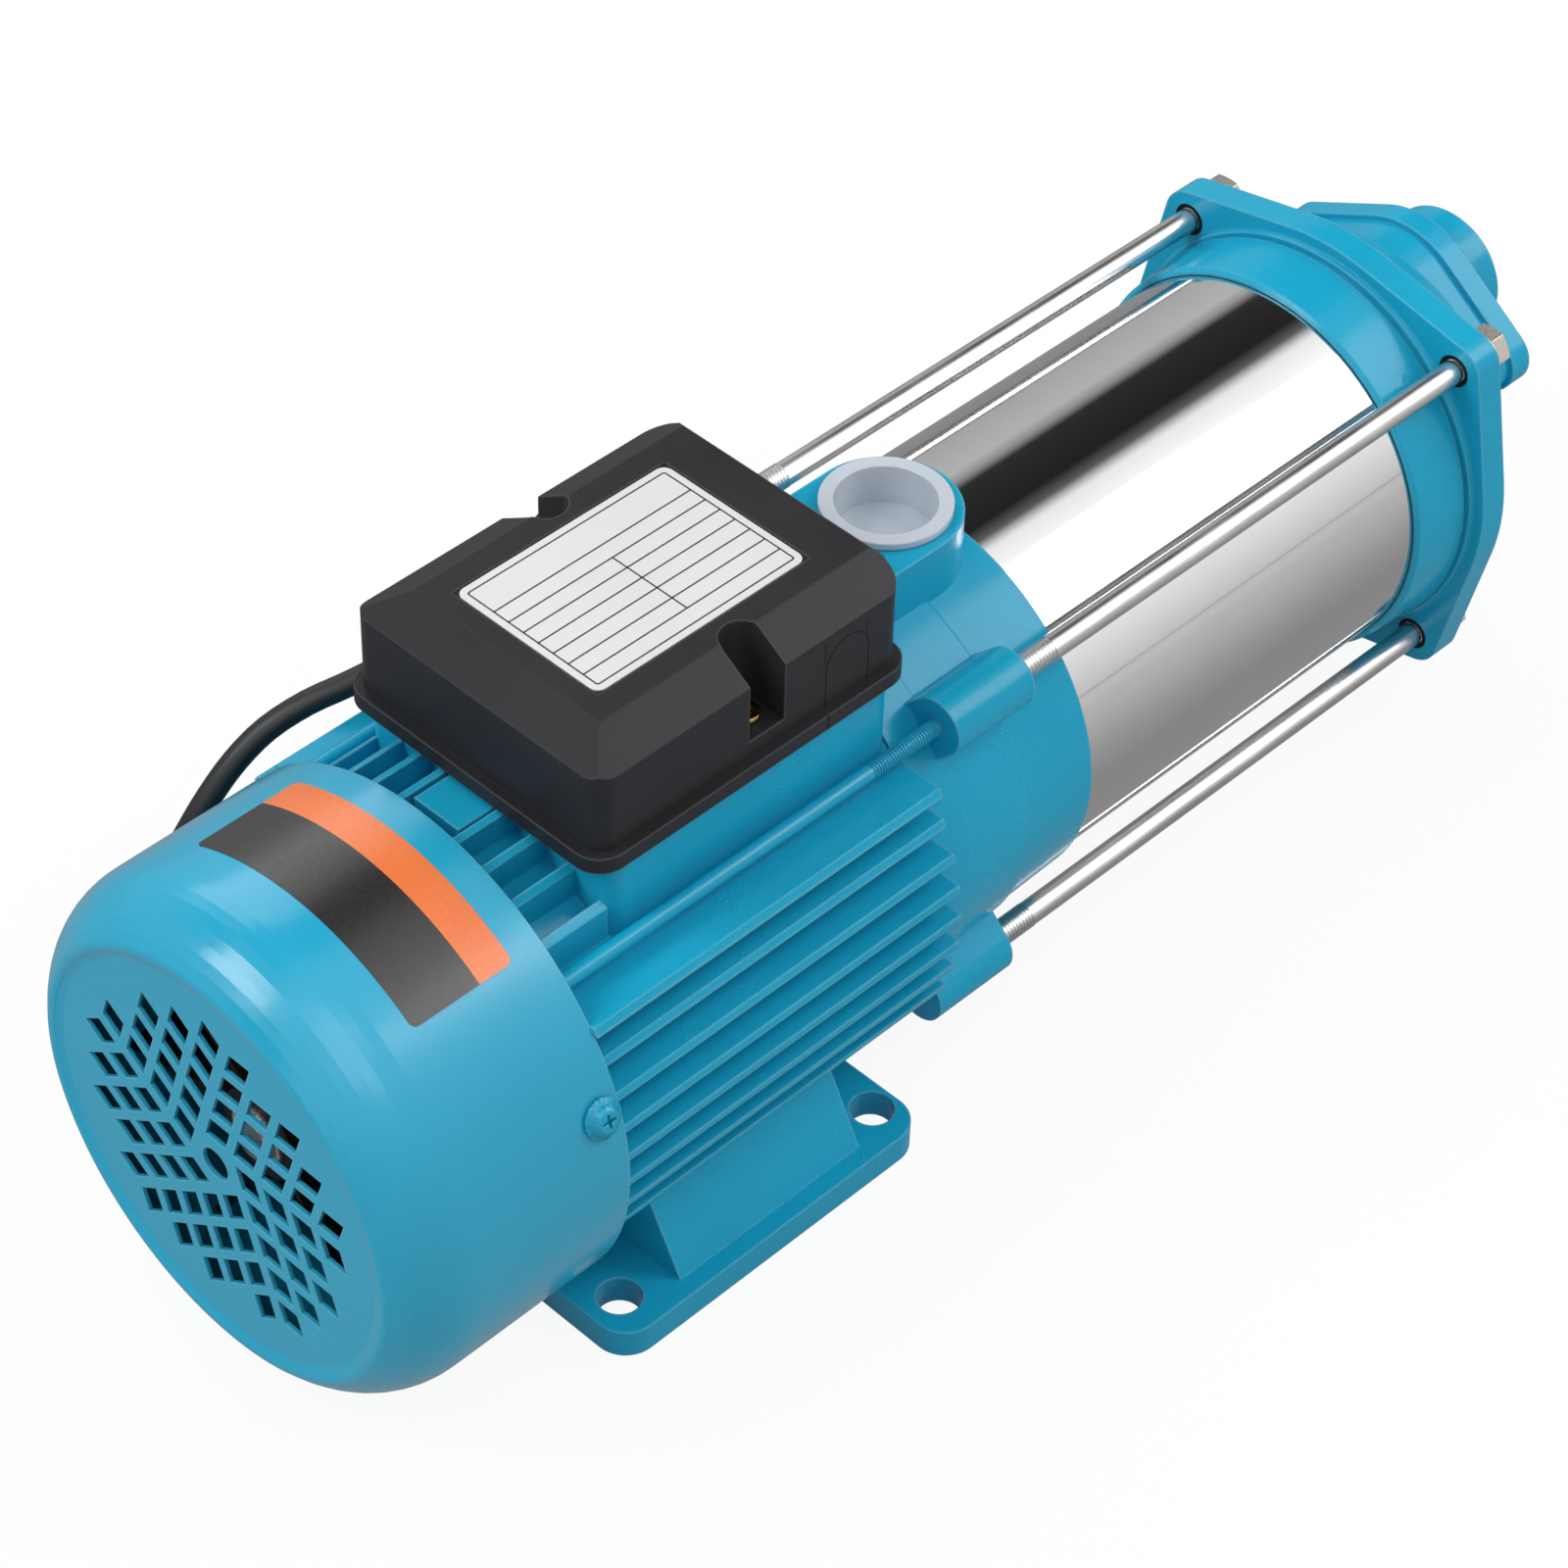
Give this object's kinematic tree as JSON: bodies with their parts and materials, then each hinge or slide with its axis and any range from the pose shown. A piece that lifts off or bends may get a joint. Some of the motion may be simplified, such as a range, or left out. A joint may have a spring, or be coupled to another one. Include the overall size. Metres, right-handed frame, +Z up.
{
  "type": "horizontal multistage centrifugal pump",
  "caption": "Foot-mounted horizontal multistage centrifugal pump with a finned electric motor, steel barrel held by tie rods, top discharge port and raised end suction port.",
  "frame": {"origin": "centre of the foot's bolt pattern, on the surface that the foot stands on", "axes": "+X along the shaft from the motor to the suction port, +Z up towards the terminal box and the discharge port"},
  "size_m": [0.5092, 0.2393, 0.1925],
  "materials": {
    "blue_casting": "glossy blue paint on a casting",
    "blue_sheet": "glossy blue paint on pressed sheet",
    "blue_steel": "blue paint over screws and bolts",
    "stainless": "polished stainless sheet",
    "plated_steel": "satin zinc plate",
    "bright_steel": "ground steel",
    "lamination": "stacked steel sheet",
    "winding": "varnished copper wire",
    "cast_aluminium": "raw casting",
    "black_plastic": "satin moulded plastic",
    "black_rubber": "matte rubber",
    "stage_plastic": "moulded resin",
    "seal_ceramic": "ground ceramic",
    "grey_plastic": "moulded plastic",
    "brass": "turned brass",
    "clear_cap": "milky soft plastic"
  },
  "bodies": {
    "casing": {"motor_frame": "blue_casting", "motor_foot": "blue_casting", "rear_shield": "blue_casting", "fan_cover": "blue_sheet", "fan_cover_screws": "blue_steel", "motor_tie_bolts": "blue_steel", "stator_core": "lamination", "stator_winding": "winding", "pump_bracket": "blue_casting", "barrel_sleeve": "stainless", "barrel_seals": "black_rubber", "suction_cover": "blue_casting", "suction_port": "blue_casting", "tie_rods": "plated_steel", "tie_rod_nuts": "plated_steel", "tie_rod_washers": "plated_steel", "stage_housing_1": "stage_plastic", "stage_housing_2": "stage_plastic", "stage_housing_3": "stage_plastic", "stage_housing_4": "stage_plastic", "stage_housing_5": "stage_plastic", "stage_housing_6": "stage_plastic", "bearing_outer_rings": "bright_steel", "wave_washer": "bright_steel", "seal_seat": "seal_ceramic", "inlet_plate": "stage_plastic", "terminal_box_base": "black_plastic", "terminal_box_gasket": "black_rubber", "terminal_box_lid": "black_plastic", "box_lid_screws": "brass", "box_base_screws": "plated_steel", "terminal_block": "grey_plastic", "run_capacitor": "grey_plastic", "cord_grommet": "black_rubber", "power_cord": "black_rubber", "cord_coil": "black_rubber", "cord_tail": "black_rubber", "plug_body": "black_rubber", "plug_pins": "plated_steel", "drain_plug": "brass", "drain_seal": "black_rubber"},
    "rotor": {"motor_shaft": "bright_steel", "rotor_core": "lamination", "rotor_cage": "cast_aluminium", "cooling_fan": "black_plastic", "fan_clip": "plated_steel", "bearing_inner_rings": "bright_steel", "bearing_balls": "bright_steel", "seal_head": "black_rubber", "impeller_1": "stage_plastic", "impeller_2": "stage_plastic", "impeller_3": "stage_plastic", "impeller_4": "stage_plastic", "impeller_5": "stage_plastic", "impeller_6": "stage_plastic", "impeller_spacers": "bright_steel", "impeller_nut": "bright_steel"},
    "outlet_cap": {"outlet_cap": "clear_cap"},
    "inlet_cap": {"inlet_cap": "clear_cap"}
  },
  "joints": [
    {"name": "rotor_spin", "type": "hinge", "parent": "casing", "child": "rotor", "pos_m": [0, 0, 0.08], "axis": [1, 0, 0], "continuous": true},
    {"name": "outlet_cap_pull", "type": "slide", "parent": "casing", "child": "outlet_cap", "axis": [0, 0, 1], "range_m": [0, 0.03]},
    {"name": "inlet_cap_pull", "type": "slide", "parent": "casing", "child": "inlet_cap", "axis": [1, 0, 0], "range_m": [0, 0.03]}
  ]
}
